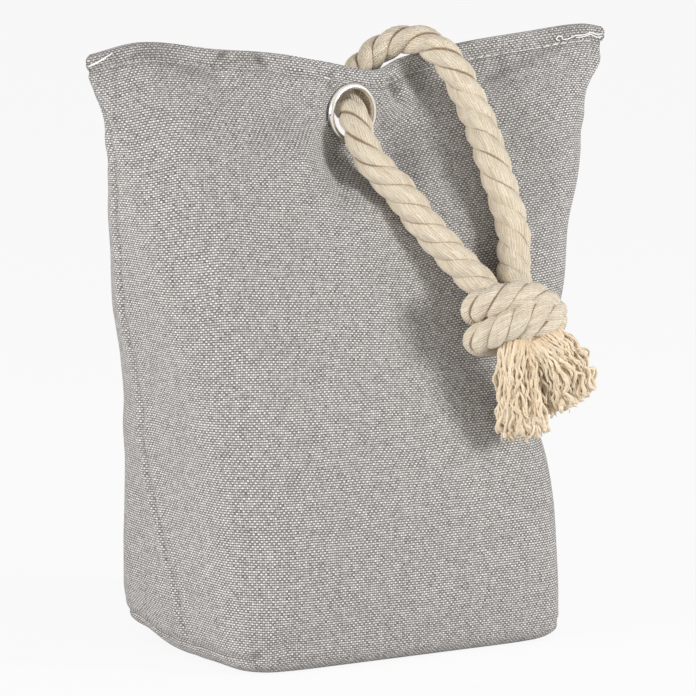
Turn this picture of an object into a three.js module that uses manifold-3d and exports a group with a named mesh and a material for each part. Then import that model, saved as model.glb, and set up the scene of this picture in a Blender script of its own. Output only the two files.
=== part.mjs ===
// A weighted door stop: a grey fabric bag filled with sand, boxed at the base and
// sewn flat along the top, with a cotton rope carrying loop through one metal eyelet.
// Millimetres, +Z up. The origin is the middle of the base, on the floor. The front,
// where the rope hangs with its knot and frayed ends, faces -Y.
import * as THREE from 'three';
import { mergeVertices } from 'three/addons/utils/BufferGeometryUtils.js';
import Module from 'manifold-3d';

// Bag
const BAG_HEIGHT = 207;
const EAR_HALF_WIDTH = 102;
const BASE_HALF_WIDTH = 64;
const BASE_HALF_DEPTH = 45;
const BASE_EDGE_RADIUS = 6;
const HEM_THICKNESS = 3.2;
const BAG_COLUMNS = 84;
const BAG_ROWS = 25;

// Eyelet
const HOLE_RADIUS = 8;
const BARREL_RADIUS = HOLE_RADIUS + 0.6;
const FLANGE_RADIUS = 9.9;
const FLANGE_HEIGHT = 1.8;
const WASHER_RADIUS = FLANGE_RADIUS - 0.2;
const WASHER_THICKNESS = 0.9;
const EYELET_AT = new THREE.Vector3(-2, -6.5, BAG_HEIGHT - 26);
const EYELET_YAW = THREE.MathUtils.degToRad(6);
const FABRIC_AT_EYELET = 2.8;
const PINCH_FLAT = FLANGE_RADIUS + 1;
const PINCH_REACH = 34;

// Rope
const ROPE_RADIUS = 5;
const KNOT_ROPE_RADIUS = 4.8;
const ROPE_SIDES = 9;
const GAP = 0.3;

// Up the bag: share of its height, half width, half depth, squareness of the section
// and how far it leans along X. It swells a little over the boxed base, then flattens
// and widens to the ears of the seam.
const BAG_SECTIONS = [
  [0, BASE_HALF_WIDTH, BASE_HALF_DEPTH, 9, 0.005],
  [0.097, 1.027 * BASE_HALF_WIDTH, 1.087 * BASE_HALF_DEPTH, 6.5, -0.014],
  [0.193, 1.042 * BASE_HALF_WIDTH, 1.099 * BASE_HALF_DEPTH, 5.2, -0.014],
  [0.29, 1.041 * BASE_HALF_WIDTH, 1.064 * BASE_HALF_DEPTH, 4.6, -0.028],
  [0.386, 1.03 * BASE_HALF_WIDTH, BASE_HALF_DEPTH, 4.4, -0.058],
  [0.483, 0.706 * EAR_HALF_WIDTH, 0.911 * BASE_HALF_DEPTH, 4.3, -0.034],
  [0.58, 0.774 * EAR_HALF_WIDTH, 0.789 * BASE_HALF_DEPTH, 4.1, -0.024],
  [0.676, 0.814 * EAR_HALF_WIDTH, 0.644 * BASE_HALF_DEPTH, 3.9, -0.029],
  [0.773, 0.874 * EAR_HALF_WIDTH, 0.489 * BASE_HALF_DEPTH, 3.5, -0.011],
  [0.845, 0.901 * EAR_HALF_WIDTH, 0.344 * BASE_HALF_DEPTH, 3.2, -0.008],
  [0.903, 0.931 * EAR_HALF_WIDTH, 0.196 * BASE_HALF_DEPTH, 3, -0.005],
  [0.942, 0.981 * EAR_HALF_WIDTH, 1.37 * HEM_THICKNESS, 3, 0.005],
  [0.966, 0.991 * EAR_HALF_WIDTH, 0.66 * HEM_THICKNESS, 3.5, -0.005],
  [0.98, EAR_HALF_WIDTH, 0.47 * HEM_THICKNESS, 3.8, 0],
  [0.993, EAR_HALF_WIDTH, 0.5 * HEM_THICKNESS, 3.8, 0],
  [1, 0.99 * EAR_HALF_WIDTH, 0.37 * HEM_THICKNESS, 3.5, 0],
];

// Along the top seam: place from the left ear (-1) to the right ear (1), its edge's
// share of the bag's height, and how far it waves forward (-) or back (+).
const TOP_SEAM = [
  [-1, 0.99, -6],
  [-0.8, 1.005, -5],
  [-0.5, 0.9865, -3],
  [-0.3, 0.9768, -3.5],
  [-0.12, 0.9609, -4.5],
  [0.11, 0.9401, 1],
  [0.25, 0.955, 2.5],
  [0.45, 0.9739, 0],
  [0.7, 0.9894, -3.5],
  [0.93, 1, -6],
  [1, 0.9942, -6.5],
];

// Middle line of the rope from the eyelet's middle, across, back and up: from the
// knot up the front, through the eyelet, behind the seam, over its edge and back down
// the front to the knot.
const ROPE_ROUTE = [
  [30.4, -37.9, -58.4], [28.4, -35, -54.6], [25.6, -31.7, -50.6], [22, -28.4, -45.5],
  [17.7, -25.4, -39.9], [13.4, -22.8, -33.9], [9.5, -20.5, -27.7], [5.1, -17.9, -22],
  [1.1, -15.1, -16.2], [-1.1, -12.2, -9.6], [-0.8, -8.7, -4.2], [0.2, -4.4, -0.7],
  [0.8, 1.6, 1.1], [2.3, 6.7, 2.2], [4.9, 10.9, 4.4], [8.5, 13.7, 7.5], [13, 15.2, 11.9],
  [18.2, 15.3, 16.7], [22.9, 13.4, 20.4], [27.6, 9.3, 22.7], [31.9, 4.1, 22.6], [36, -1.9, 18.8],
  [39.7, -5.7, 12.2], [42.9, -7.7, 4.3], [44.7, -11.2, -2.8], [44.5, -16.3, -10],
  [44.4, -21, -17.2], [45.6, -23.8, -24.9], [47.2, -25.7, -33], [47.8, -28.4, -41.1],
  [45.9, -31.4, -48.8], [43.3, -35.6, -54.6], [41.4, -40.6, -58.8],
];

// The knot's middle, from the eyelet's. Its own right, up and out point across, up
// and off the front.
const KNOT_FROM_EYELET = new THREE.Vector3(35.4, -47.9, -68);
const KNOT_TURN = THREE.MathUtils.degToRad(-26);

// Middle line of the doubled rope wound round the knot, cut into turns that don't
// meet themselves: across, up and out from the knot's middle.
const KNOT_TURNS = [
  [[-8, 2, -7], [-13, 3.6, -1.5], [-12.4, 5.4, 4], [-8, 7.2, 7.4], [-2, 8.5, 8], [5, 8.2, 6.8],
    [10.4, 6, 4], [12.6, 2.4, -1], [9.5, 0, -7]],
  [[6, -5, -8], [-3, -8, -8], [-9.8, -8.6, -3], [-11.8, -7, 2.4], [-9.6, -5, 6.6], [-5, -1.2, 9.6],
    [0.6, 2.6, 10], [6, 4.4, 8.4], [11.2, 3.6, 4.2], [12.8, 0.6, -1], [8.5, -1, -7]],
  [[-2, -5.5, 0], [-1, -3.6, 5], [3, -1.2, 7.8], [8, 0, 7], [11.8, 0, 2.4], [12, -0.8, -3], [7.6, -2, -8]],
];
const KNOT_CORE = [12.6, 10.4, 10];

// The frayed ends: root and tip from the knot's middle, then half widths and half
// thicknesses at each.
const FRAYED_ENDS = {
  frayed_end_left: {
    root: [-0.4, -0.4, -10.2], tip: [3.6, 1.2, -37.4], spread: [5, 9.6], depth: [4.6, 5.4],
    fan: [1, 0, 0.12], strands: 9,
  },
  frayed_end_right: {
    root: [8.2, -1.2, -9.6], tip: [30.2, 1.2, -25.4], spread: [5, 11], depth: [4.4, 5],
    fan: [0.6, 0, 0.8], strands: 9,
  },
};

const KNOT_AT = KNOT_FROM_EYELET.clone().add(EYELET_AT);

const wasm = await Module();
wasm.setup();

// A closed solid for cutting and joining, from a geometry's positions alone.
function solid(geometry) {
  const bare = geometry.clone();
  for (const name of Object.keys(bare.attributes)) if (name !== 'position') bare.deleteAttribute(name);
  const merged = mergeVertices(bare, 1e-4);
  return new wasm.Manifold(new wasm.Mesh({
    numProp: 3,
    vertProperties: new Float32Array(merged.attributes.position.array),
    triVerts: new Uint32Array(merged.index.array),
  }));
}

function geometryOf(body) {
  const { vertProperties, triVerts } = body.getMesh();
  return meshGeometry(vertProperties, triVerts);
}

function meshGeometry(positions, triangles) {
  const geometry = new THREE.BufferGeometry();
  geometry.setAttribute('position', new THREE.BufferAttribute(new Float32Array(positions), 3));
  geometry.setIndex(new THREE.BufferAttribute(new Uint32Array(triangles), 1));
  geometry.computeVertexNormals();
  return geometry;
}

// Smooth cubic through one column of a table, at a place along its first column.
function keyed(table, place, column) {
  const last = table.length - 1;
  const t = Math.min(Math.max(place, table[0][0]), table[last][0]);
  let k = 0;
  while (k < last - 1 && t >= table[k + 1][0]) k += 1;
  const step = (i) => table[i + 1][0] - table[i][0];
  const slope = (i) => (table[i + 1][column] - table[i][column]) / step(i);
  const tangent = (i) => {
    if (i === 0) return slope(0);
    if (i === last) return slope(last - 1);
    if (slope(i - 1) * slope(i) <= 0) return 0;
    return (slope(i - 1) * step(i) + slope(i) * step(i - 1)) / (step(i) + step(i - 1));
  };
  const w = step(k);
  const s = (t - table[k][0]) / w;
  return (2 * s ** 3 - 3 * s ** 2 + 1) * table[k][column] + (s ** 3 - 2 * s ** 2 + s) * w * tangent(k)
    + (3 * s ** 2 - 2 * s ** 3) * table[k + 1][column] + (s ** 3 - s ** 2) * w * tangent(k + 1);
}

// A point of the bag's skin: angle round it, share of the height up it, and for the
// rounded base edge how far it is drawn in.
function bagPoint(angle, share, inset = 0) {
  const halfWidth = keyed(BAG_SECTIONS, share, 1) - inset;
  const halfDepth = keyed(BAG_SECTIONS, share, 2) - inset;
  const m = keyed(BAG_SECTIONS, share, 3);
  const c = Math.cos(angle);
  const s = Math.sin(angle);
  const r = (Math.abs(c) ** m + Math.abs(s) ** m) ** (-1 / m);
  const sag = (keyed(TOP_SEAM, c * r, 1) - 1) * THREE.MathUtils.smoothstep(share, 0, 1);
  const x = halfWidth * c * r + keyed(BAG_SECTIONS, share, 4) * EAR_HALF_WIDTH;
  const z = BAG_HEIGHT * share * (1 + sag);
  const wave = keyed(TOP_SEAM, c * r, 2) * THREE.MathUtils.smoothstep(share, 0.25, 1);
  return new THREE.Vector3(x, pinched(x, z, wave + halfDepth * s * r, s), z);
}

// The eyelet draws both layers of the fabric together round it.
function pinched(x, z, y, side) {
  const near = Math.hypot(x - EYELET_AT.x, z - EYELET_AT.z);
  const free = THREE.MathUtils.smoothstep(near, PINCH_FLAT, PINCH_REACH);
  const layer = Math.sign(side) * FABRIC_AT_EYELET / 2;
  const flat = EYELET_AT.y + Math.tan(EYELET_YAW) * (x - EYELET_AT.x) + layer;
  return flat * (1 - free) + y * free;
}

// The bag's rows of points: share of the height, and how far each is drawn in.
function bagRows() {
  const rows = [];
  const edgeSteps = 4;
  const edge = BASE_EDGE_RADIUS / BAG_HEIGHT;
  const shoulder = 0.937;
  for (let i = 0; i < edgeSteps; i += 1) {
    const turn = (i / edgeSteps) * Math.PI / 2;
    rows.push([edge * (1 - Math.cos(turn)), BASE_EDGE_RADIUS * (1 - Math.sin(turn))]);
  }
  for (let i = 0; i <= BAG_ROWS; i += 1) rows.push([edge + (shoulder - edge) * (i / BAG_ROWS), 0]);
  for (const share of [0.954, 0.968, 0.98, 0.993, 1]) rows.push([share, 0]);
  return rows;
}

function bagSkin() {
  const positions = [];
  const triangles = [];
  const n = BAG_COLUMNS;
  const rows = bagRows();
  for (const [share, inset] of rows) {
    for (let i = 0; i < n; i += 1) {
      positions.push(...bagPoint(((i + 0.5) / n) * 2 * Math.PI, share, inset).toArray());
    }
  }
  for (let j = 0; j + 1 < rows.length; j += 1) {
    for (let i = 0; i < n; i += 1) {
      const a = j * n + i;
      const b = j * n + ((i + 1) % n);
      triangles.push(a, b, b + n, a, b + n, a + n);
    }
  }
  const middle = positions.length / 3;
  positions.push(BAG_SECTIONS[0][4] * EAR_HALF_WIDTH, 0, 0);
  for (let i = 0; i < n; i += 1) triangles.push(middle, (i + 1) % n, i);
  const top = (rows.length - 1) * n;
  for (let i = 0; i < n / 2 - 1; i += 1) {
    const [a, b, c, d] = [top + i, top + i + 1, top + n - 2 - i, top + n - 1 - i];
    triangles.push(a, b, c, a, c, d);
  }
  return meshGeometry(positions, triangles);
}

// A profile turned round the eyelet's axis; heights run forward from the fabric's
// front face.
function eyeletTurned(profile, segments = 36) {
  const points = profile.map(([radius, height]) => new THREE.Vector2(radius, height));
  return new THREE.LatheGeometry(points, segments);
}

function eyeletPlacement() {
  const turn = new THREE.Matrix4().makeRotationZ(Math.PI + EYELET_YAW);
  const front = new THREE.Vector3(0, FABRIC_AT_EYELET / 2, 0).applyMatrix4(turn);
  return turn.setPosition(front.add(EYELET_AT));
}

// The bag, with the eyelet's hole and a flat seat for its flange and washer.
function filledBag() {
  const place = eyeletPlacement();
  const plug = (radius, from, to) => {
    const rod = new THREE.CylinderGeometry(radius, radius, to - from, 48);
    return solid(rod.translate(0, (from + to) / 2, 0).applyMatrix4(place));
  };
  const seat = FLANGE_RADIUS + GAP;
  const body = solid(bagSkin())
    .subtract(plug(BARREL_RADIUS + GAP, -15, 12))
    .subtract(plug(seat, 0, 12))
    .subtract(plug(seat, -15, -FABRIC_AT_EYELET));
  return geometryOf(body);
}

// The domed front flange with its barrel, rolled over behind the washer.
function eyeletGeometry() {
  const back = -FABRIC_AT_EYELET - 2 * GAP - WASHER_THICKNESS;
  const dome = FLANGE_HEIGHT;
  return eyeletTurned([
    [HOLE_RADIUS, back - 0.2], [HOLE_RADIUS, dome * 0.5], [HOLE_RADIUS + 0.2, dome * 0.84],
    [HOLE_RADIUS + 0.6, dome], [FLANGE_RADIUS - 0.7, dome * 0.94], [FLANGE_RADIUS - 0.25, dome * 0.66],
    [FLANGE_RADIUS, GAP], [BARREL_RADIUS, GAP], [BARREL_RADIUS, back], [BARREL_RADIUS + 0.9, back],
    [BARREL_RADIUS + 0.9, back - 0.45], [BARREL_RADIUS + 0.5, back - 0.8], [BARREL_RADIUS, back - 0.7],
    [HOLE_RADIUS, back - 0.2],
  ].reverse());
}

function washerGeometry() {
  const front = -FABRIC_AT_EYELET - GAP;
  const inner = BARREL_RADIUS + GAP;
  return eyeletTurned([
    [inner, front], [inner, front - WASHER_THICKNESS], [WASHER_RADIUS - 0.4, front - WASHER_THICKNESS],
    [WASHER_RADIUS, front - WASHER_THICKNESS / 2], [WASHER_RADIUS, front], [inner, front],
  ]);
}

// A round rope of one radius along a smooth line through its points.
function tube(points, radius, steps, sides = ROPE_SIDES) {
  const line = new THREE.CatmullRomCurve3(points.map((p) => new THREE.Vector3(...p)), false, 'centripetal');
  const ring = [];
  for (let i = 0; i < sides; i += 1) {
    const turn = (i / sides) * 2 * Math.PI;
    ring.push(new THREE.Vector2(radius * Math.cos(turn), radius * Math.sin(turn)));
  }
  return new THREE.ExtrudeGeometry(new THREE.Shape(ring), {
    steps, extrudePath: line, bevelEnabled: false,
  });
}

const ropeRoute = ROPE_ROUTE.map((place) => new THREE.Vector3(...place).add(EYELET_AT).toArray());

function ropeLoop() {
  return tube(ropeRoute, ROPE_RADIUS, 72);
}

// The rope's two ends, which the knot grips, a little larger than the rope itself.
function ropeClearance() {
  const past = (tip, next) => tip.map((value, i) => value + (value - next[i]) * 0.1);
  const first = ropeRoute.slice(0, 5);
  const last = ropeRoute.slice(-5).reverse();
  return [first, last].map((leg) => solid(
    tube([past(leg[0], leg[1]), ...leg], ROPE_RADIUS + 2 * GAP, 16, 12),
  ));
}

function knotPoint([across, up, out]) {
  return new THREE.Vector3(across, -out, up)
    .applyAxisAngle(new THREE.Vector3(0, 0, 1), KNOT_TURN).add(KNOT_AT).toArray();
}

// An overhand knot drawn tight: turns of the doubled rope over a packed core. With
// room round it, it is the space that its neighbours keep out of.
function knotBody(room) {
  const [width, height, depth] = KNOT_CORE.map((half) => half + room);
  const core = new THREE.SphereGeometry(1, 16, 10).scale(width, depth, height)
    .rotateZ(KNOT_TURN).translate(...KNOT_AT.toArray());
  return KNOT_TURNS.reduce((body, turn) => body.add(
    solid(tube(turn.map(knotPoint), KNOT_ROPE_RADIUS + room, 18, 8)),
  ), solid(core));
}

// A brush of untwisted yarns: a flattened, ridged horn that widens to a ragged tip.
function frayedEnd({ root, tip, spread, depth, fan, strands }) {
  const from = KNOT_AT.clone().add(new THREE.Vector3(...root));
  const along = KNOT_AT.clone().add(new THREE.Vector3(...tip)).sub(from);
  const wide = new THREE.Vector3(...fan).projectOnPlane(along.clone().normalize()).normalize();
  const thick = new THREE.Vector3().crossVectors(along, wide).normalize();
  const rings = 7;
  const sides = strands * 4;
  const positions = [];
  const triangles = [];
  for (let j = 0; j <= rings; j += 1) {
    const t = j / rings;
    const halfWidth = THREE.MathUtils.lerp(spread[0], spread[1], t ** 0.8);
    const halfDepth = THREE.MathUtils.lerp(depth[0], depth[1], t);
    for (let i = 0; i < sides; i += 1) {
      const turn = (i / sides) * 2 * Math.PI;
      const ridge = 1 + 0.09 * t * Math.cos(strands * turn);
      const ragged = t * (1 + 0.05 * t * Math.sin(3 * turn) + 0.03 * t * Math.cos(strands * turn));
      const point = from.clone().addScaledVector(along, ragged)
        .addScaledVector(wide, halfWidth * ridge * Math.cos(turn))
        .addScaledVector(thick, halfDepth * ridge * Math.sin(turn));
      positions.push(...point.toArray());
    }
  }
  for (let j = 0; j < rings; j += 1) {
    for (let i = 0; i < sides; i += 1) {
      const a = j * sides + i;
      const b = j * sides + ((i + 1) % sides);
      triangles.push(a, b, b + sides, a, b + sides, a + sides);
    }
  }
  const foot = positions.length / 3;
  positions.push(...from.toArray(), ...from.clone().addScaledVector(along, 0.97).toArray());
  for (let i = 0; i < sides; i += 1) {
    const next = (i + 1) % sides;
    triangles.push(foot, next, i, foot + 1, rings * sides + i, rings * sides + next);
  }
  return solid(meshGeometry(positions, triangles));
}

const FABRIC = { color: 0x9b9a98, roughness: 0.95, metalness: 0 };
const NICKEL = { color: 0xd9d8d4, roughness: 0.12, metalness: 1 };
const COTTON = { color: 0xd9cdb4, roughness: 0.95, metalness: 0 };

function named(name, geometry, look) {
  const mesh = new THREE.Mesh(geometry, new THREE.MeshStandardMaterial(look));
  mesh.name = name;
  return mesh;
}

function eyeletPart(name, geometry) {
  const mesh = named(name, geometry, NICKEL);
  mesh.applyMatrix4(eyeletPlacement());
  return mesh;
}

// Each frayed end stops just short of the knot and of the end made before it.
function knotAndEnds() {
  const knot = ropeClearance().reduce((body, leg) => body.subtract(leg), knotBody(0));
  const meshes = [named('rope_knot', geometryOf(knot), COTTON)];
  let taken = knotBody(2 * GAP);
  for (const [name, shape] of Object.entries(FRAYED_ENDS)) {
    meshes.push(named(name, geometryOf(frayedEnd(shape).subtract(taken)), COTTON));
    const roomy = (sizes) => sizes.map((size) => size + GAP);
    taken = taken.add(frayedEnd({ ...shape, spread: roomy(shape.spread), depth: roomy(shape.depth) }));
  }
  return meshes;
}

const doorStop = new THREE.Group();
doorStop.add(
  named('filled_bag', filledBag(), FABRIC),
  eyeletPart('eyelet', eyeletGeometry()),
  eyeletPart('eyelet_washer', washerGeometry()),
  named('rope_loop', ropeLoop(), COTTON),
  ...knotAndEnds(),
);

export default doorStop;
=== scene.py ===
import math

import bpy
import numpy as np
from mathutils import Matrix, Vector


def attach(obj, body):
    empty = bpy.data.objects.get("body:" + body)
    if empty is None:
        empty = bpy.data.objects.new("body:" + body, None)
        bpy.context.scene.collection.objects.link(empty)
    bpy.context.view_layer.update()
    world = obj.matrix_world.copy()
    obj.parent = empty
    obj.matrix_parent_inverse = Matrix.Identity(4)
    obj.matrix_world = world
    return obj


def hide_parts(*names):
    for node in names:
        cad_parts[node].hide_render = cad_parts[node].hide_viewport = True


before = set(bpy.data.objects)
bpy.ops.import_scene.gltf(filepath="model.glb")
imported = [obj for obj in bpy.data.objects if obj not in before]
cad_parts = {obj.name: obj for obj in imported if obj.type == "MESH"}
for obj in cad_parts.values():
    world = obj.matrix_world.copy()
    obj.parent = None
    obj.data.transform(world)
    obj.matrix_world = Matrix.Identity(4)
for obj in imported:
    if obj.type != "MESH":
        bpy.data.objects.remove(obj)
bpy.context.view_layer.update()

# The view. The bag stands with its left side turned a little to the eye, seen from 1.7 m
# away and 8 degrees above the table, through a long lens, so that its sides stay parallel.
VIEW_TURN, VIEW_RISE = math.radians(-32.0), math.radians(8.2)
VIEW_DISTANCE = 1.7
VIEW_TARGET = Vector((0.0018, 0.0, 0.0999))
VIEW_LENS = 258.3

towards_eye = Vector((math.sin(VIEW_TURN) * math.cos(VIEW_RISE),
                      -math.cos(VIEW_TURN) * math.cos(VIEW_RISE), math.sin(VIEW_RISE)))
view_data = bpy.data.cameras.new("view")
view_data.lens, view_data.sensor_width = VIEW_LENS, 36.0
view = bpy.data.objects.new("view", view_data)
view.location = VIEW_TARGET + towards_eye * VIEW_DISTANCE
view.rotation_mode = "QUATERNION"
view.rotation_quaternion = (-towards_eye).to_track_quat("-Z", "Y")
bpy.context.scene.collection.objects.link(view)
bpy.context.scene.camera = view


# The carrying rope. Three strands of undyed cotton, each of many soft yarns, laid to the
# left with one turn in 25.5 mm. It rises from the knot, goes in through the eyelet, comes
# up behind the bag and over its top seam, and goes back down to the knot.
MM = 0.001
EYELET_AT = np.array([-2.0, -6.5, 181.0])
ROPE_DIAMETER = 10.9
ROPE_LAY = 25.5
STRAND_SHARE = 0.3
# a third of a turn from strand to strand, and a start of its own for each line
STRAND_PHASE, LINE_PHASE = 2.094, 0.9
YARNS_PER_STRAND = 22
# how a strand swells: share of its thickness, length in mm, how far the strands differ
SWELL, RIPPLE = (0.035, 5.3, 2.1), (0.02, 2.1, 1)
NAP = 0.016
CORE_PATTERN = 0.4
STEPS_PER_SPAN, CORD_POINTS = 60, 150
ROPE_STEPS, ROPE_SIDES = 460, 40
ROPE_ROUTE = EYELET_AT + np.array([
    [30.4, -37.9, -58.4], [28.4, -35, -54.6], [25.6, -31.7, -50.6], [22, -28.4, -45.5],
    [17.7, -25.4, -39.9], [13.4, -22.8, -33.9], [9.5, -20.5, -27.7], [5.1, -17.9, -22],
    [0.5, -15.1, -16.2], [-2.2, -12.2, -9.6], [-2.1, -8.7, -4.2], [-0.9, -4.4, -0.7],
    [1.3, 1.6, 1.1], [4.4, 6.7, 2.6], [7.4, 10.9, 5], [10.2, 13.7, 7.8], [13, 15.2, 11.9],
    [18.2, 15.3, 16.7], [22.9, 13.4, 20.4], [27.6, 9.3, 22.7], [31.9, 4.1, 22.6],
    [36, -1.9, 18.8], [39.7, -5.7, 12.2], [42.9, -7.7, 4.3], [44.7, -11.2, -2.8],
    [44.5, -16.3, -10], [44.4, -21, -17.2], [45.6, -23.8, -24.9], [47.2, -25.7, -33],
    [47.8, -28.4, -41.1], [45.9, -31.4, -48.8], [43.3, -35.6, -54.6], [41.4, -40.6, -58.8]])
ENDS_IN_KNOT = EYELET_AT + np.array([
    [34.6, -43.6, -65], [32.8, -40.8, -61.8], [39.3, -44, -62.6], [37.4, -46.4, -65.4]])
# share of the way along the rope, thickness there as a share of its diameter
ROPE_GIRTH = np.array([
    [0, 1.07], [0.22, 1.07], [0.3, 0.97], [0.42, 0.93], [0.54, 0.93], [0.62, 1.0], [0.68, 1.07], [1, 1.07]])


def unit(vectors):
    """Each vector divided by its length."""
    return vectors / np.linalg.norm(vectors, axis=-1, keepdims=True)


def run_length(line):
    """Distance along a line of points, from its first point to each of them."""
    return np.concatenate([[0.0], np.cumsum(np.linalg.norm(np.diff(line, axis=0), axis=1))])


def smooth_line(points, count):
    """Centripetal cubic through the points. On each span the end tangents are the mean
    slopes on both sides, weighted by the square root of the spans, and the result is
    spaced evenly by length."""
    ends = np.vstack([2 * points[0] - points[1], points, 2 * points[-1] - points[-2]])
    before, start, stop, after = (ends[i:len(ends) - 3 + i][:, None, :] for i in range(4))
    gap = lambda a, b: np.linalg.norm(b - a, axis=-1, keepdims=True) ** 0.5
    g0, g1, g2 = gap(before, start), gap(start, stop), gap(stop, after)
    leave = ((start - before) / g0 - (stop - before) / (g0 + g1) + (stop - start) / g1) * g1
    arrive = ((stop - start) / g1 - (after - start) / (g1 + g2) + (after - stop) / g2) * g1
    s = np.linspace(0, 1, STEPS_PER_SPAN)[None, :, None]
    line = ((2 * s**3 - 3 * s**2 + 1) * start + (s**3 - 2 * s**2 + s) * leave
            + (3 * s**2 - 2 * s**3) * stop + (s**3 - s**2) * arrive).reshape(-1, 3)
    line = line[np.concatenate([[True], np.linalg.norm(np.diff(line, axis=0), axis=1) > 1e-6])]
    far = run_length(line)
    even = np.linspace(0, far[-1], count)
    return np.stack([np.interp(even, far, line[:, k]) for k in range(3)], 1)


def carried_axes(line):
    """The tangent and two cross axes along a line, which don't twist about it. The first
    guess leans on the direction that the tangents share least, and its own twist, summed
    along the line, is then turned back."""
    along = unit(np.gradient(line, axis=0))
    least = np.linalg.eigh(along.T @ along)[1][:, 0]
    across = unit(least - (along @ least)[:, None] * along)
    other = np.cross(along, across)
    step = np.sum(np.diff(across, axis=0) * (other[1:] + other[:-1]) / 2, axis=1)
    back = -np.concatenate([[0.0], np.cumsum(step)])[:, None]
    return along, across * np.cos(back) + other * np.sin(back), other * np.cos(back) - across * np.sin(back)


def ring_faces(tubes, steps, sides):
    """Quads between the rings of several tubes, and a fan on each end to a pole that
    follows the rings' points. Returns the faces, and each corner's place in a pattern
    grid that has one column more than the rings, so that the pattern meets itself."""
    t, s, j = np.meshgrid(np.arange(tubes), np.arange(steps - 1), np.arange(sides), indexing="ij")
    point = lambda s, j: (t * steps + s) * sides + j % sides
    place = lambda s, j: (t * steps + s) * (sides + 1) + j
    corners = [(s, j), (s, j + 1), (s + 1, j + 1), (s + 1, j)]
    quads = np.stack([point(*c) for c in corners], -1).reshape(-1, 4)
    pattern = np.stack([place(*c) for c in corners], -1).reshape(-1, 4)
    t, j = np.meshgrid(np.arange(tubes), np.arange(sides), indexing="ij")
    poles = tubes * steps * sides + 2 * t
    fans, fan_pattern = [], []
    for end, (first, second) in ((0, (j + 1, j)), (steps - 1, (j, j + 1))):
        fan = point(end, first), point(end, second), poles + (end > 0)
        fans.append(np.stack(fan, -1).reshape(-1, 3))
        fan_place = place(end, first), place(end, second), place(end, j)
        fan_pattern.append(np.stack(fan_place, -1).reshape(-1, 3))
    return quads, pattern, np.vstack(fans), np.vstack(fan_pattern)


def make_piece(name, points_mm, faces, uv_mm=None, marks=None):
    """A mesh object at the origin from points in millimetres, with lists of faces, a
    pattern place in millimetres for each corner, and named numbers for each point."""
    mesh = bpy.data.meshes.new(name)
    mesh.from_pydata((points_mm * MM).tolist(), [], [f for part in faces for f in part.tolist()])
    if uv_mm is not None:
        mesh.uv_layers.new(name="pattern").data.foreach_set("uv", (uv_mm * MM).astype(np.float32).ravel())
    for key, values in (marks or {}).items():
        mark = mesh.attributes.new(key, "FLOAT", "POINT")
        mark.data.foreach_set("value", values.astype(np.float32).ravel())
    mesh.shade_smooth()
    mesh.update()
    piece = bpy.data.objects.new(name, mesh)
    bpy.context.scene.collection.objects.link(piece)
    return piece


def strand_rings(line, diameter, lay, phase, around, plump, girth=None):
    """One strand: a circle carried round the rope's middle line, one turn to the left in
    each lay. plump is its radius as a share of the rope's diameter, and its middle is as
    far out as lets it reach the rope's outside, so that plump strands press together.
    girth thickens or thins the rope along its length. The pattern's first number counts
    yarns round the strand and slides so that they run along the rope on its outside; the
    second is the length. The mark is 1 on the side that faces out of the rope."""
    offset, radius = (0.5 - plump) * diameter, plump * diameter
    rate = -2 * math.pi / lay
    far = run_length(line)
    size = 1.0 if girth is None else np.interp(far / far[-1], girth[:, 0], girth[:, 1])[:, None]
    along, across, other = carried_axes(line)
    turn = (phase + rate * far)[:, None]
    out = across * np.cos(turn) + other * np.sin(turn)
    swell, ripple = (share * np.sin(far / step + differ * phase)[:, None]
                     for share, step, differ in (SWELL, RIPPLE))
    breathe = size * (1 + swell + ripple)
    middle = line + offset * size * out
    own = unit(np.gradient(middle, axis=0))
    face = unit(out - np.sum(out * own, -1, keepdims=True) * own)
    side = np.cross(own, face)
    psi = np.linspace(0, 2 * math.pi, around + 1)
    c, s = np.cos(psi[:-1])[None, :, None], np.sin(psi[:-1])[None, :, None]
    nap = 1 + np.random.default_rng(int(100 * phase) + 7).normal(0, NAP, (len(line), around, 1))
    around_it = face[:, None, :] * c + side[:, None, :] * s
    rings = middle[:, None, :] + radius * breathe[:, None, :] * nap * around_it
    slide = -rate * (offset + radius) / radius * far
    yarn = (psi[None, :] - slide[:, None]) * YARNS_PER_STRAND / (2 * math.pi)
    pattern = np.stack([yarn, np.broadcast_to(far[:, None], yarn.shape)], -1)
    outer = np.broadcast_to((1 + np.cos(psi[:-1])) / 2, rings.shape[:2])
    return rings, pattern, outer


def rope_piece(name, lines, diameter, lay, steps, around, girth=None, core=None):
    """Three strands round each line, closed at their ends, as one mesh, with a core that
    fills their middle where one is given."""
    made = [strand_rings(smooth_line(line, steps), diameter, lay, STRAND_PHASE * k + LINE_PHASE * n, around,
                         STRAND_SHARE, girth)
            for n, line in enumerate(lines) for k in range(3)]
    rings, pattern, outer = (np.stack([m[i] for m in made]) for i in range(3))
    if core is not None:
        rings = np.concatenate([rings, core[None]])
        blank = np.stack(np.meshgrid(np.arange(steps), np.arange(around + 1), indexing="ij")[::-1], -1)
        pattern = np.concatenate([pattern, blank[None] * CORE_PATTERN])
        outer = np.concatenate([outer, np.zeros((1, steps, around))])
    tubes = len(rings)
    quads, place, fans, fan_place = ring_faces(tubes, steps, around)
    poles = np.stack([rings[:, 0].mean(1), rings[:, -1].mean(1)], 1)
    points = np.vstack([rings.reshape(-1, 3), poles.reshape(-1, 3)])
    flat = pattern.reshape(-1, 2)
    uv = np.vstack([flat[place].reshape(-1, 2), flat[fan_place].reshape(-1, 2)])
    marks = {"outer": np.concatenate([outer.ravel(), np.full(2 * tubes, 0.5)])}
    return make_piece(name, points, [quads, fans], uv, marks)


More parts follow.
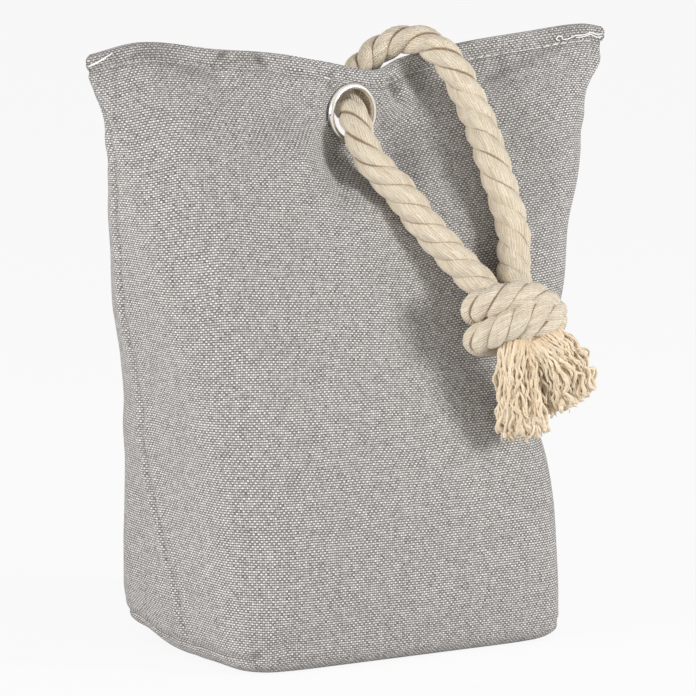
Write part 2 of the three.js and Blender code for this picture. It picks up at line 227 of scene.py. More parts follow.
class Wire:
    """A socket of a material's nodes. Arithmetic on it adds Math nodes, and node() adds
    any other node: its settings first, then a value or a wire for each of its sockets."""

    def __init__(self, tree, socket=None):
        self.tree, self.socket = tree, socket

    def node(self, kind, settings=None, sockets=None, output=0):
        made = self.tree.nodes.new("ShaderNode" + kind)
        for key, value in (settings or {}).items():
            if key == "stops":
                for i, (place, colour) in enumerate(value):
                    stop = made.color_ramp.elements[i] if i < 2 else made.color_ramp.elements.new(place)
                    stop.position, stop.color = place, colour
            else:
                setattr(made, key, value)
        for key, value in (sockets or {}).items():
            if isinstance(value, Wire):
                self.tree.links.new(value.socket, made.inputs[key])
            else:
                made.inputs[key].default_value = value
        return Wire(self.tree, made.outputs[output] if made.outputs else None)

    def maths(self, operation, *terms, clamp=False):
        return self.node("Math", {"operation": operation, "use_clamp": clamp}, dict(enumerate(terms)))

    def __add__(self, other):
        return self.maths("ADD", self, other)

    def __radd__(self, other):
        return self.maths("ADD", other, self)

    def __sub__(self, other):
        return self.maths("SUBTRACT", self, other)

    def __rsub__(self, other):
        return self.maths("SUBTRACT", other, self)

    def __mul__(self, other):
        return self.maths("MULTIPLY", self, other)

    def __rmul__(self, other):
        return self.maths("MULTIPLY", other, self)

    def __truediv__(self, other):
        return self.maths("DIVIDE", self, other)

    def clamped(self):
        return self.maths("ADD", self, 0.0, clamp=True)

    def size(self):
        return self.maths("ABSOLUTE", self)

    def whole(self):
        return self.maths("FLOOR", self)

    def sine(self):
        return self.maths("SINE", self)

    def blend(self, low, high):
        """Colour from low to high by this share."""
        return self.node("Mix", {"data_type": "RGBA", "clamp_factor": True}, {0: self, 6: low, 7: high}, 2)

    def vector(self, x, y, z=0.0):
        return self.node("CombineXYZ", None, {0: x, 1: y, 2: z})

    def noise(self, place, scale, detail=2.0):
        return self.node("TexNoise", None, {"Vector": place, "Scale": scale, "Detail": detail}, 0)

    def chance(self, place):
        return self.node("TexWhiteNoise", {"noise_dimensions": "3D"}, {"Vector": place}, 0)


def new_nodes(name):
    """An empty material, and the wire that its nodes are added to."""
    material = bpy.data.materials.new(name)
    material.use_nodes = True
    material.node_tree.nodes.clear()
    return material, Wire(material.node_tree)


def new_finish(name):
    """An empty material, as the wire that its nodes are added to, and a call that ends it
    with its surface shader."""
    material, start = new_nodes(name)

    def close(sockets):
        shader = start.node("BsdfPrincipled", None, sockets)
        start.node("OutputMaterial", None, {"Surface": shader})
        return material
    return start, close


def colour(red, green, blue):
    """A colour as written for a screen, from 0 to 255, turned to the linear values that
    a shader takes."""
    c = np.array([red, green, blue]) / 255.0
    return (*np.where(c <= 0.04045, c / 12.92, ((c + 0.055) / 1.055) ** 2.4), 1.0)


def twisted_cotton(name):
    """Cream cotton yarns: the pattern's first number counts yarns, the second is length.
    Each yarn is round, with shade painted down its sides, has its own tone and a fine twist,
    and warm shade is painted where the cotton lies deep between the strands."""
    start, close = new_finish(name)
    place = start.node("UVMap", {"uv_map": "pattern"})
    yarn = start.node("SeparateXYZ", None, {0: place}, 0) / MM
    length = start.node("SeparateXYZ", None, {0: place}, 1) / MM
    wander = start.noise(start.vector(yarn * 0.3, length * 0.15), 1.0) - 0.5
    yarn = yarn + wander * 1.6
    round_yarn = (yarn * (2 * math.pi)).sine() * 0.5 + 0.5
    tone = start.noise(start.vector(yarn.whole() * 3.7, length * 0.09), 1.0)
    fibres = start.noise(start.vector(yarn * 2.2, length * 0.9), 1.0, 4.0)
    twist = (length * 7.4 + yarn * 9.0).sine() * 0.5 + 0.5
    height = round_yarn * 0.62 + fibres * 0.4 + twist * 0.14
    outer = start.node("Attribute", {"attribute_name": "outer"}, None, 2)
    # painted shade: the round_yarn term makes each yarn lighter on its crest and darker down its sides
    light = ((tone - 0.5) * 1.8 + 0.6 + (round_yarn - 0.5) * 0.5 + (fibres - 0.5) * 0.9).clamped()
    cream = light.blend(colour(198, 180, 153), colour(231, 219, 199))
    # painted shade: warm and dark where the strands press together, and over the knot's core, which has no
    # outer side
    groove_shade = ((0.75 - outer) * 12.0).clamped() * 0.9
    cream = groove_shade.blend(cream, colour(140, 112, 85))
    bump = start.node("Bump", None, {"Strength": 0.9, "Distance": 0.4 * MM, "Height": height})
    return close({"Base Color": cream, "Roughness": 0.85, "Normal": bump, "Specular IOR Level": 0.2,
                  "Sheen Weight": 0.25, "Sheen Roughness": 0.5})


rope_cotton = twisted_cotton("twisted_cotton_rope")
rope_line = np.vstack([ENDS_IN_KNOT[:2], ROPE_ROUTE, ENDS_IN_KNOT[2:]])
rope_loop = rope_piece("rope_loop_strands", [rope_line], ROPE_DIAMETER, ROPE_LAY, ROPE_STEPS, ROPE_SIDES,
                       ROPE_GIRTH)
rope_loop.data.materials.append(rope_cotton)
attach(rope_loop, "root")
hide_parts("rope_loop")


# The knot. Both ends of the rope are tied together in one overhand knot, drawn tight, so
# that the turns lie side by side and press into each other.
KNOT_AT = EYELET_AT + np.array([35.4, -47.9, -68.0])
KNOT_TURN = math.radians(-26)
KNOT_DIAMETER = 10.4
KNOT_LAY = 19.5
KNOT_TURNS = [
    [[-8, 2, -7], [-13, 3.8, -1.5], [-12.4, 5.9, 4], [-8, 8, 7.4], [-2, 9.5, 8], [5, 9.3, 6.8], [10.4, 6, 4],
     [12.6, 2.4, -1], [9.5, 0, -7]],
    [[6, -4, -8], [-3, -6.6, -8], [-10.2, -6.9, -3], [-12.6, -5.3, 2.4], [-10.2, -3.3, 6.6], [-5, -0.4, 9.6],
     [0.6, 2.6, 10], [6, 4.4, 8.4], [11.2, 3.6, 4.2], [12.8, 0.6, -1], [8.5, -1, -7]],
    [[-2, -4.5, 0], [-1, -2.6, 5], [3, -0.1, 7.8], [8, 1, 7], [11.8, 0.4, 2.4], [12, -0.8, -3],
     [7.6, -2, -8]]]
KNOT_CORE = (11.5, 9.5, 9.0)
KNOT_STEPS = 150


def from_knot(local):
    """Places [across, up, out of the front] about the knot's middle, turned with the knot,
    as places in the frame."""
    across, up, out = np.moveaxis(np.asarray(local, float), -1, 0)
    c, s = math.cos(KNOT_TURN), math.sin(KNOT_TURN)
    return KNOT_AT + np.stack([across * c + out * s, across * s - out * c, up], -1)


def knot_core(steps, around):
    """An egg that fills the knot: circles whose radius is the sine of the angle up it."""
    up, turn = np.meshgrid(np.linspace(0.03, math.pi - 0.03, steps),
                           np.linspace(0, 2 * math.pi, around, endpoint=False), indexing="ij")
    width, height, depth = KNOT_CORE
    return from_knot(np.stack([width * np.sin(up) * np.cos(turn), -height * np.cos(up),
                               -depth * np.sin(up) * np.sin(turn)], -1))


rope_knot = rope_piece("rope_knot_turns", [from_knot(turn) for turn in KNOT_TURNS], KNOT_DIAMETER, KNOT_LAY,
                       KNOT_STEPS, ROPE_SIDES, core=knot_core(KNOT_STEPS, ROPE_SIDES))
rope_knot.data.materials.append(rope_cotton)
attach(rope_knot, "root")
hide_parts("rope_knot")


# The frayed ends. Below the knot both ends of the rope are unlaid and combed out into
# loose curly yarns, 30 to 35 mm long, one brush hanging down and one lying to the right.
FRAYED_ENDS = {
    "frayed_end_left": dict(
        root=[0.5, -3.5, 6.2], bend=[-1.5, -14, 9.5], tip=[3.2, -38.6, -1], spread=[6, 9.0],
        depth=[4.6, 5.6], fan=[1, 0.05, 0], yarns=400, seed=5),
    "frayed_end_right": dict(
        root=[6, -3.3, 6.2], bend=[15, -10, 9], tip=[19.2, -28.2, -1.5], spread=[7, 12.2],
        depth=[4.4, 5.6], fan=[0.93, 0.36, 0], yarns=480, seed=11)}
YARN_RADIUS = 0.5
YARN_SIDES, YARN_STEPS = 5, 40
LOCKS, LOCK_PULL = 60, 0.55
THICK_SHARE, THIN_RADIUS, THIN_REACH = 0.96, 0.45, 1.05
# swing in mm, slowest and fastest turn in radians, and whether a lock's yarns share it
YARN_CURLS = ((0.8, 5, 10, True), (0.9, 14, 26, True), (0.4, 9, 20, False), (0.65, 26, 46, False))
CURL_START = 6.3


def thin_tubes(lines, radii, sides, lean):
    """Round tubes along many lines at once. lean is a direction that no line follows, and
    each ring stands across its own line."""
    along = unit(np.gradient(lines, axis=1))
    lean = np.broadcast_to(lean, along.shape)
    face = unit(lean - np.sum(lean * along, -1, keepdims=True) * along)
    side = np.cross(along, face)
    psi = np.arange(sides) * 2 * math.pi / sides
    c, s = np.cos(psi)[:, None], np.sin(psi)[:, None]
    rings = lines[:, :, None] + radii[:, :, None, None] * (face[:, :, None] * c + side[:, :, None] * s)
    quads, _, fans, _ = ring_faces(*rings.shape[:3])
    poles = np.stack([lines[:, 0], lines[:, -1]], 1)
    return np.vstack([rings.reshape(-1, 3), poles.reshape(-1, 3)]), quads, fans


def ease(t, low, high):
    """0 below low, 1 above high, and a smooth rise between them."""
    t = np.clip((t - low) / (high - low), 0, 1)
    return t * t * (3 - 2 * t)


def frayed_end(name, root, bend, tip, spread, depth, fan, yarns, seed):
    """A brush of yarns along a curve from root to tip that leaves towards bend. Each yarn
    keeps its place in the bundle's round section, which widens to the tip, drifts towards
    one of the locks that the yarns gather in, and curls by sines whose size grows down
    its length, most of it shared by the lock."""
    dice = np.random.default_rng(seed)
    root, bend, tip = (from_knot(p) for p in (root, bend, tip))
    fan = from_knot(fan) - KNOT_AT
    axis = unit(tip - root)
    fan = unit(fan - (fan @ axis) * axis)
    thick = np.cross(axis, fan)
    t = np.linspace(0, 1, YARN_STEPS)[None, :, None]
    ring = np.sqrt(dice.uniform(0, 1, yarns))[:, None, None]
    turn = dice.uniform(0, 2 * math.pi, yarns)[:, None, None]
    lock = dice.integers(0, LOCKS, yarns)
    reach = dice.triangular(0.9, 0.99, 1.0, yarns)[:, None, None]
    thin = dice.uniform(0, 1, yarns)[:, None, None] > THICK_SHARE
    reach = np.where(thin, reach * THIN_REACH, reach)
    down = t * reach
    middle = root * (1 - down)**2 + 2 * bend * down * (1 - down) + tip * down**2
    wide = spread[0] + (spread[1] - spread[0]) * down
    deep = depth[0] + (depth[1] - depth[0]) * down
    pull = LOCK_PULL * ease(down, 0.0, 0.7)
    own = np.stack([ring * np.cos(turn), ring * np.sin(turn)])
    gathered = own * (1 - pull) + own[:, lock % yarns] * pull
    lines = middle + fan * gathered[0] * wide + thick * gathered[1] * deep
    for size, low, high, shared in YARN_CURLS:
        for direction in (fan, thick):
            draws = dice.uniform(0, 1, (2, yarns)), dice.normal(0, size, yarns)
            (speed, start), swing = (draws[0][:, lock], draws[1][lock]) if shared else draws
            wave = (low + (high - low) * speed)[:, None, None] * t + CURL_START * start[:, None, None]
            lines = lines + direction * swing[:, None, None] * np.sin(wave) * down
    beads = 1 + 0.14 * np.sin(t[..., 0] * 70 + turn[..., 0])
    radii = YARN_RADIUS * dice.uniform(0.8, 1.2, (yarns, 1)) * beads
    radii = radii * np.where(thin[..., 0], THIN_RADIUS, 1.0) * (1 + 0.4 * ease(t[..., 0], 0.75, 0.97))
    radii = radii * np.where(t[..., 0] > 0.99, 0.75, 1.0)
    points, quads, fans = thin_tubes(lines, radii, YARN_SIDES, thick)
    per_ring = np.broadcast_to((ring * (0.3 + 0.7 * t**0.6))[..., 0], (yarns, YARN_STEPS))
    tone = np.broadcast_to(dice.uniform(0, 1, (yarns, 1)), (yarns, YARN_STEPS))
    far = np.broadcast_to(t[..., 0], (yarns, YARN_STEPS))
    marks = {}
    for key, value in (("outer", per_ring), ("tone", tone), ("far", far)):
        ends = np.stack([value[:, 0], value[:, -1]], 1)
        marks[key] = np.concatenate([np.repeat(value.ravel(), YARN_SIDES), ends.ravel()])
    return make_piece(name, points, [quads, fans], None, marks)


def loose_cotton(name):
    """Loose cotton yarns, each with its own tone and fine fibres, a little lighter towards the
    tips, with warm shade painted near the root and in the middle of the brush."""
    start, close = new_finish(name)
    mark = lambda key: start.node("Attribute", {"attribute_name": key}, None, 2)
    place = start.node("TexCoord", None, None, 3)
    fibres = start.noise(place, 1400.0, 3.0)
    light = (mark("tone") * 0.5 + fibres * 0.6 + mark("far") * 0.15).clamped()
    cream = light.blend(colour(203, 180, 148), colour(237, 222, 197))
    # painted shade: warmer and darker deep in the brush and near its root, where the yarns shade each other
    cream = (1 - mark("outer") * 1.9).clamped().blend(cream, colour(208, 172, 131))
    bump = start.node("Bump", None, {"Strength": 0.6, "Distance": 0.2 * MM, "Height": fibres})
    return close({"Base Color": cream, "Roughness": 0.88, "Normal": bump, "Specular IOR Level": 0.2,
                  "Sheen Weight": 0.25, "Sheen Roughness": 0.5})


yarn_cotton = loose_cotton("loose_cotton_yarns")
for node, shape in FRAYED_ENDS.items():
    brush = frayed_end(node + "_yarns", **shape)
    brush.data.materials.append(yarn_cotton)
    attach(brush, "root")
    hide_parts(node)

rope_path = smooth_line(rope_line, CORD_POINTS) * MM
run_length(rope_path)[-1]


# The bag. A tube of grey melange cloth, filled with sand in its lower part, with its low
# corners boxed to a flat base, and its top pressed flat and sewn, so that the two ears
# stand out wider than the base. The fabric is pinched together round the eyelet.
BAG_HEIGHT = 207.0
EAR_HALF_WIDTH = 102.0
BASE_HALF_WIDTH = 64.0
BASE_HALF_DEPTH = 45.0
BASE_EDGE_RADIUS = 6.0
HEM_THICKNESS = 3.2
EYELET_YAW = math.radians(6)
FABRIC_AT_EYELET = 2.8
PINCH_FLAT, PINCH_REACH = 10.9, 34.0
BAG_COLUMNS, BAG_ROWS = 420, 250
HEM_FROM, HEM_ROWS, EDGE_ROWS = 0.93, 40, 8

W, D, E, H = BASE_HALF_WIDTH, BASE_HALF_DEPTH, EAR_HALF_WIDTH, HEM_THICKNESS
# share of the height, half width, half depth, squareness, lean to the right
BAG_SECTIONS = np.array([
    [0, W, D, 9, 0.005], [0.097, 1.027 * W, 1.087 * D, 6.5, -0.014],
    [0.193, 1.042 * W, 1.099 * D, 5.2, -0.014], [0.29, 1.041 * W, 1.064 * D, 4.6, -0.028],
    [0.386, 1.03 * W, D, 4.4, -0.058],
    [0.483, 0.706 * E, 0.911 * D, 4.3, -0.034], [0.58, 0.774 * E, 0.789 * D, 4.1, -0.024],
    [0.676, 0.814 * E, 0.644 * D, 3.9, -0.029], [0.773, 0.874 * E, 0.489 * D, 3.5, -0.011],
    [0.845, 0.901 * E, 0.344 * D, 3.2, -0.008], [0.903, 0.931 * E, 0.196 * D, 3, -0.005],
    [0.942, 0.981 * E, 1.37 * H, 3, 0.005], [0.966, 0.991 * E, 0.66 * H, 3.5, -0.005],
    [0.98, E, 0.47 * H, 3.8, 0], [0.993, E, 0.5 * H, 3.8, 0], [1, 0.99 * E, 0.37 * H, 3.5, 0]])
# place across, height of the sewn edge, how far it waves to the back
TOP_SEAM = np.array([
    [-1, 0.99, -6], [-0.8, 1.005, -5], [-0.5, 0.9865, -3], [-0.3, 0.9768, -3.5], [-0.12, 0.9609, -4.5],
    [0.11, 0.9401, 1], [0.25, 0.955, 2.5], [0.45, 0.9739, 0], [0.7, 0.9894, -3.5], [0.93, 1, -6],
    [1, 0.9942, -6.5]])


def keyed(table, place, column):
    """Smooth cubic through one column of a table. The tangent at a row is the mean slope of
    its two spans, each weighted by the other's length, and none at a peak."""
    x, y = table[:, 0], table[:, column]
    gap = np.diff(x)
    slope = np.diff(y) / gap
    inner = (slope[:-1] * gap[1:] + slope[1:] * gap[:-1]) / (gap[1:] + gap[:-1])
    tangent = np.concatenate([slope[:1], np.where(slope[:-1] * slope[1:] <= 0, 0, inner), slope[-1:]])
    t = np.clip(place, x[0], x[-1])
    k = np.clip(np.searchsorted(x, t, side="right") - 1, 0, len(x) - 2)
    s = (t - x[k]) / gap[k]
    return ((2 * s**3 - 3 * s**2 + 1) * y[k] + (s**3 - 2 * s**2 + s) * gap[k] * tangent[k]
            + (3 * s**2 - 2 * s**3) * y[k + 1] + (s**3 - s**2) * gap[k] * tangent[k + 1])


def bag_skin(angle, share, inset):
    """The bag's skin. At each share of the height its section is a rounded rectangle, the
    curve where the powers of x and y add up to one. The rows bend down to the sewn edge,
    and near the eyelet both faces ease into one flat patch."""
    wide, deep = (keyed(BAG_SECTIONS, share, k) - inset for k in (1, 2))
    m = keyed(BAG_SECTIONS, share, 3)
    c, s = np.cos(angle), np.sin(angle)
    r = (np.abs(c)**m + np.abs(s)**m) ** (-1 / m)
    u = c * r
    x = wide * u + keyed(BAG_SECTIONS, share, 4) * E
    z = BAG_HEIGHT * share * (1 + (keyed(TOP_SEAM, u, 1) - 1) * ease(share, 0, 1))
    y = keyed(TOP_SEAM, u, 2) * ease(share, 0.25, 1) + deep * s * r
    free = ease(np.hypot(x - EYELET_AT[0], z - EYELET_AT[2]), PINCH_FLAT, PINCH_REACH)
    flat = (EYELET_AT[1] + math.tan(EYELET_YAW) * (x - EYELET_AT[0]) + np.sign(s) * FABRIC_AT_EYELET / 2)
    return np.stack([x, flat * (1 - free) + y * free, z], -1)


def bag_rows():
    """Each row's share of the height and how far it is drawn in: the base out to its
    edge, a quarter round, the tall sides, and the close rows of the pressed hem."""
    edge = BASE_EDGE_RADIUS / BAG_HEIGHT
    turn = np.linspace(0, math.pi / 2, EDGE_ROWS + 1)[:-1]
    inset = np.concatenate([BASE_EDGE_RADIUS * (1 - np.sin(turn)), np.zeros(BAG_ROWS)])
    rise = np.concatenate([np.linspace(edge, HEM_FROM, BAG_ROWS - HEM_ROWS)[:-1],
                           np.linspace(HEM_FROM, 1, HEM_ROWS + 1)])
    return np.concatenate([edge * (1 - np.cos(turn)), rise]), inset


turns = (np.arange(BAG_COLUMNS) + 0.5) * 2 * math.pi / BAG_COLUMNS
shares, insets = bag_rows()
angle, share = np.meshgrid(turns, shares)
skin = bag_skin(angle, share, insets[:, None])


def bag_pattern(skin):
    """Places in the cloth: the run along each row from the middle of the front, and the
    mean run up the columns, because the cloth is woven straight and then bent."""
    loop = np.concatenate([skin, skin[:, :1]], 1)
    far = np.cumsum(np.linalg.norm(np.diff(loop, axis=1), axis=2), 1)
    run = np.concatenate([np.zeros((len(skin), 1)), far], 1)
    front = BAG_COLUMNS * 3 // 4
    run = run - run[:, front:front + 1]
    rise = np.concatenate([[0.0], np.cumsum(np.linalg.norm(np.diff(skin, axis=0), axis=2).mean(1))])
    return np.stack([run, np.broadcast_to(rise[:, None], run.shape)], -1)


def outward(skin):
    """The direction off the cloth: the step round the bag crossed with the step up it."""
    round_it = np.roll(skin, -1, axis=1) - np.roll(skin, 1, axis=1)
    return unit(np.cross(round_it, np.gradient(skin, axis=0)) + 1e-9)


pattern = bag_pattern(skin)
SEWN_DROP = 5.8
BASE_SEAM = 6.0
NEAR_TOP, AWAY, FAR_AWAY = 150, 40, 99.0
# height, how far each side seam runs to the back of the side's middle
SIDE_SEAM = np.array([[0, -6], [22, -2], [45, 7], [68, 13], [105, 12], [137, 6.5], [175, 0], [207, 0]])


def bump_at(distance, width):
    """1 on a line, easing to 0 at about twice its width: a bell curve of the distance."""
    return np.exp(-(distance / width)**2)


def bag_seams(skin, angle):
    """Distances in millimetres from each point to the two side seams, to the seam that
    boxes each end of the base, and to the line sewn below the top edge."""
    share = skin[..., 2] / BAG_HEIGHT
    middle = keyed(TOP_SEAM, np.sign(skin[..., 0]), 2) * ease(share, 0.25, 1)
    sides = abs(skin[..., 1] - middle - keyed(SIDE_SEAM, skin[..., 2], 1))
    sides = sides + AWAY * (1 - ease(abs(np.cos(angle)), 0.3, 0.5))
    on_end = ease(abs(np.cos(angle)), 0.62, 0.72)
    boxed = abs(skin[..., 2] - BASE_SEAM) + AWAY * (1 - on_end)
    edge = BAG_HEIGHT * keyed(TOP_SEAM, np.clip(skin[..., 0] / E, -1, 1), 1)
    drop = np.where(skin[..., 2] > NEAR_TOP, edge - skin[..., 2], FAR_AWAY)
    return sides, boxed, drop


sides, boxed, drop = bag_seams(skin, angle)


def fold(skin, angle, x, z, across, along, lean, face=-1):
    """A bell-shaped patch on the front (-1) or back (1), longer along its lean, which is
    given in degrees from upright."""
    c, s = math.cos(math.radians(lean)), math.sin(math.radians(lean))
    dx, dz = skin[..., 0] - x, skin[..., 2] - z
    patch = bump_at(dx * c - dz * s, across) * bump_at(dx * s + dz * c, along)
    return patch * (np.sign(np.sin(angle)) == face)


# x, z, half width, half length, lean, depth (+ out, - in)
FRONT_FOLDS = [
    [17.5, 188.5, 1.8, 5, -24, -2.6], [13.5, 187, 2.4, 7, -14, 1.0], [23, 187, 4, 7, -24, 1.2],
    [-9.6, 193, 0.8, 5.5, 8, -0.9], [-13, 193, 2.2, 6, 8, 0.5],
    [-50, 202.2, 1.8, 2.6, 40, -2.3], [-36, 200.2, 1.8, 2.6, -40, -2.4], [-33, 197, 1.8, 5, 55, 0.8],
    [-48, 198.5, 2.0, 5, 60, 0.7], [-22, 196.5, 1.6, 4, 40, -0.7],
    [-28, 186, 5, 18, 62, -2.6], [-24, 172, 5, 18, 50, 2.0], [-13, 160, 4, 15, 24, -1.5],
    [-45, 166, 13, 22, 20, 1.6], [12, 168, 5, 13, -28, -1.0], [22, 150, 9, 22, -14, 1.3],
    [58, 172, 10, 22, 8, -1.2], [78, 160, 7, 22, 4, 0.9], [-80, 182, 8, 20, -12, -1.0],
    [-92, 192, 1.0, 11, -3, -0.8], [8, 96, 20, 34, 0, 0.8], [-36, 88, 14, 40, 8, -0.6],
    [-50, 9, 5, 4, 40, -1.4], [-57, 14, 3, 7, -30, 0.8], [50, 12, 5, 6, -40, -0.9]]
BACK_FOLDS = [
    [-20, 178, 6, 16, 40, -1.1], [16, 176, 5, 15, -35, -1.0], [0, 160, 7, 18, 5, 0.9],
    [50, 165, 12, 24, 12, 1.1], [-55, 168, 11, 24, -14, 0.9], [20, 80, 22, 34, 0, 0.8],
    [-40, 60, 16, 30, 12, -0.7], [52, 190, 2, 8, 25, -0.9], [-60, 195, 2, 7, -25, -0.9]]


def bag_moves(skin, angle):
    """How far each point moves off the cloth: the pressed seams, the puckers that the
    thread draws below the hem and beside the seams, the folds that the eyelet and the
    rope pull, and the slow waves of sand behind cloth."""
    x, z = skin[..., 0], skin[..., 2]
    body = ease(z, 4, 20)
    move = -0.6 * bump_at(drop - SEWN_DROP, 0.9) + 0.45 * bump_at(drop - 2.6, 1.9)
    below = np.where(drop > SEWN_DROP, np.exp(-(drop - SEWN_DROP) / 7.5), bump_at(drop - SEWN_DROP, 2.5))
    pull = np.sin(x / 1.9 + 2.2 * np.sin(x / 11.0)) + 0.7 * np.sin(x / 3.4 + 1.0)
    ears = 1 - ease(abs(x), 92, 100)
    gathered = 1 + 1.3 * bump_at(x + 42, 26)
    move += 0.33 * gathered * below * pull * ears * (z > NEAR_TOP)
    seam_on = ease(z, 5, 9) * (1 - ease(z, 176, 196))
    move += seam_on * (-0.9 * bump_at(sides, 1.3) + 0.5 * bump_at(sides - 3.4, 2.2))
    move += 0.35 * seam_on * np.exp(-sides / 6) * np.sin(z / 2.3 + 1.5 * np.sin(z / 9))
    move += -0.6 * bump_at(boxed, 1.1) + 0.15 * bump_at(boxed - 2.6, 1.4)
    move += 0.22 * np.exp(-boxed / 4) * np.sin(skin[..., 1] / 2.4 + 1.5 * np.sin(skin[..., 1] / 7))
    slow = np.sin(x / 17.0 + z / 23.0 + 0.6) * np.sin(z / 19.0 - x / 41.0)
    quick = 0.6 * np.sin(x / 9.3 - z / 14.0 + 2.0) * np.sin(z / 11.7 + 0.4)
    move += 0.38 * (slow + quick) * body * ease(drop, 6, 30)
    for face, folds in ((-1, FRONT_FOLDS), (1, BACK_FOLDS)):
        for fx, fz, across, along, lean, depth in folds:
            move += depth * fold(skin, angle, fx, fz, across, along, lean, face)
    near = np.hypot(x - EYELET_AT[0], z - EYELET_AT[2])
    spoke = np.arctan2(z - EYELET_AT[2], x - EYELET_AT[0])
    rays = np.sin(7 * spoke + 0.8) + 0.6 * np.sin(11 * spoke + 2.0)
    move += 0.45 * rays * np.exp(-np.clip(near - 12, 0, None) / 9) * ease(near, 10.5, 14) * ease(drop, 2, 7)
    return move * np.where(near < PINCH_FLAT, 0, 1)


skin = skin + outward(skin) * bag_moves(skin, angle)[..., None]
CORNER_TUCK, OFF_TABLE = 3.9, 0.05
BASE_RINGS = 12
tucked = ease(skin[..., 1], 6, 32) * ease(-skin[..., 0], 20, 55) * (1 - ease(skin[..., 2], 4, 26))
skin[..., 2] = np.maximum(skin[..., 2], OFF_TABLE) + CORNER_TUCK * tucked
rings_in = np.linspace(0.06, 1, BASE_RINGS)[:-1]
centre = np.array([BAG_SECTIONS[0, 4] * E, 0, 0])
base = centre + (skin[0] - centre) * rings_in[:, None, None]
base_pattern = np.concatenate([base[..., :2], base[:, :1, :2]], 1)
grid = np.concatenate([base, skin])
grid_pattern = np.concatenate([base_pattern, pattern])


def bag_mesh(grid, grid_pattern, seam_and_crease_mark, centre):
    """Quads round the base and the sides, a strip that joins front to back along the top
    edge, and a fan at the middle of the base."""
    rows, columns = grid.shape[:2]
    quads, place, fans, fan_place = ring_faces(1, rows, columns)
    i = np.arange(columns // 2 - 1)
    ends = np.stack([i, i + 1, columns - 2 - i, columns - 1 - i], -1)
    strip = (rows - 1) * columns + ends
    strip_place = (rows - 1) * (columns + 1) + np.stack([i, i + 1, i + 1, i], -1)
    flat = grid_pattern.reshape(-1, 2)
    uv = np.vstack([flat[p].reshape(-1, 2) for p in (place, strip_place, fan_place[:columns])])
    marks = {"seam_and_crease_mark": np.concatenate([np.zeros((rows - len(seam_and_crease_mark)) * columns), seam_and_crease_mark.ravel(), [0]])}
    points = np.vstack([grid.reshape(-1, 3), centre])
    return make_piece("fabric_bag", points, [quads, strip, fans[:columns]], uv, marks)


# The seam mark darkens the cloth along the seams and paints shade into the creases listed below.
side_mark = 0.6 * bump_at(sides, 0.8) * ease(skin[..., 2], 5, 9)
seam_and_crease_shade = np.maximum(side_mark, 0.6 * bump_at(boxed, 0.7))
seam_and_crease_shade = np.maximum(seam_and_crease_shade, 0.5 * bump_at(drop - SEWN_DROP, 0.7))
# x, z, half width, half length, lean, strength of the shade in the deepest creases
CREASES = [[-50, 202.2, 1.1, 2.6, 50, 1.3], [-36, 200.2, 1.1, 2.8, -50, 1.4], [-43, 201, 0.9, 7, 82, 0.8],
           [17.5, 188.5, 1.1, 4, -24, 1.0], [-9.6, 192.5, 0.9, 5, 8, 1.0], [-60.5, 7.5, 1.2, 1.6, 20, 1.2]]
for x, z, across, along, lean, strength in CREASES:
    seam_and_crease_shade = np.maximum(seam_and_crease_shade, strength * fold(skin, angle, x, z, across, along, lean))
bag = bag_mesh(grid, grid_pattern, seam_and_crease_shade, centre)

WARP_PITCH, WEFT_PITCH = 0.775, 0.83


def melange_cloth(name):
    """Plain weave. A sine across the warp times a sine up the weft is a hump over each
    crossing: above 0 the light weft lies on top, below 0 the darker warp. Each thread's
    tone drifts along it, each crossing has a tone of its own, and shade is painted into
    the gaps, darkest between the rows."""
    start, close = new_finish(name)
    place = start.node("UVMap", {"uv_map": "pattern"})
    u = start.node("SeparateXYZ", None, {0: place}, 0) / MM
    v = start.node("SeparateXYZ", None, {0: place}, 1) / MM
    wander = start.noise(start.vector(u * 0.06, v * 0.06), 1.0)
    a = u / WARP_PITCH + (wander - 0.5) * 1.6
    b = v / WEFT_PITCH + (wander - 0.5) * 1.3
    across_warp, up_weft = (a * math.pi).sine(), (b * math.pi).sine()
    hump = across_warp * up_weft
    weft_tone = start.noise(start.vector(u * 0.3, b.whole() * 5.3, 2.0), 1.0, 2.0)
    warp_tone = start.noise(start.vector(a.whole() * 4.1, v * 0.25, 9.0), 1.0, 2.0)
    speck = start.chance(start.vector(a.whole(), b.whole(), 1.0))
    weft_on_top = (hump * 2.6 + 0.5).clamped()
    # painted shade in the gaps between threads, darkest between the rows
    unshaded_cover = (up_weft.size() * (across_warp.size() * 0.6 + 0.4) * 1.4).clamped()
    weft, warp = 0.7 + (weft_tone - 0.5) * 0.7, 0.3 + (warp_tone - 0.5) * 0.6
    tone = (weft_on_top * weft + (1 - weft_on_top) * warp + (speck - 0.5) * 0.3).clamped()
    grey = tone.blend(colour(112, 108, 105), colour(250, 246, 242))
    grey = unshaded_cover.blend(colour(36, 34, 32), grey)
    seam_and_crease_mark = start.node("Attribute", {"attribute_name": "seam_and_crease_mark"}, None, 2)
    # dark seam lines, and painted shade in the creases
    grey = (seam_and_crease_mark * 0.55).clamped().blend(grey, colour(92, 88, 84))
    height = hump.size() + (speck - 0.5) * 0.3 + weft_on_top * 0.25
    bump = start.node("Bump", None, {"Strength": 0.6, "Distance": 0.2 * MM, "Height": height})
    return close({"Base Color": grey, "Roughness": 0.9, "Normal": bump, "Specular IOR Level": 0.15,
                  "Sheen Weight": 0.1, "Sheen Roughness": 0.5})


bag.data.materials.append(melange_cloth("grey_melange_cloth"))
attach(bag, "root")
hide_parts("filled_bag")

HOLE_IN_CLOTH = 8.95
HOLE_SIDES = 64
ROD_BEHIND, ROD_BEFORE = 18, 14
EYELET_FRONT = np.array([math.sin(EYELET_YAW), -math.cos(EYELET_YAW), 0.0])


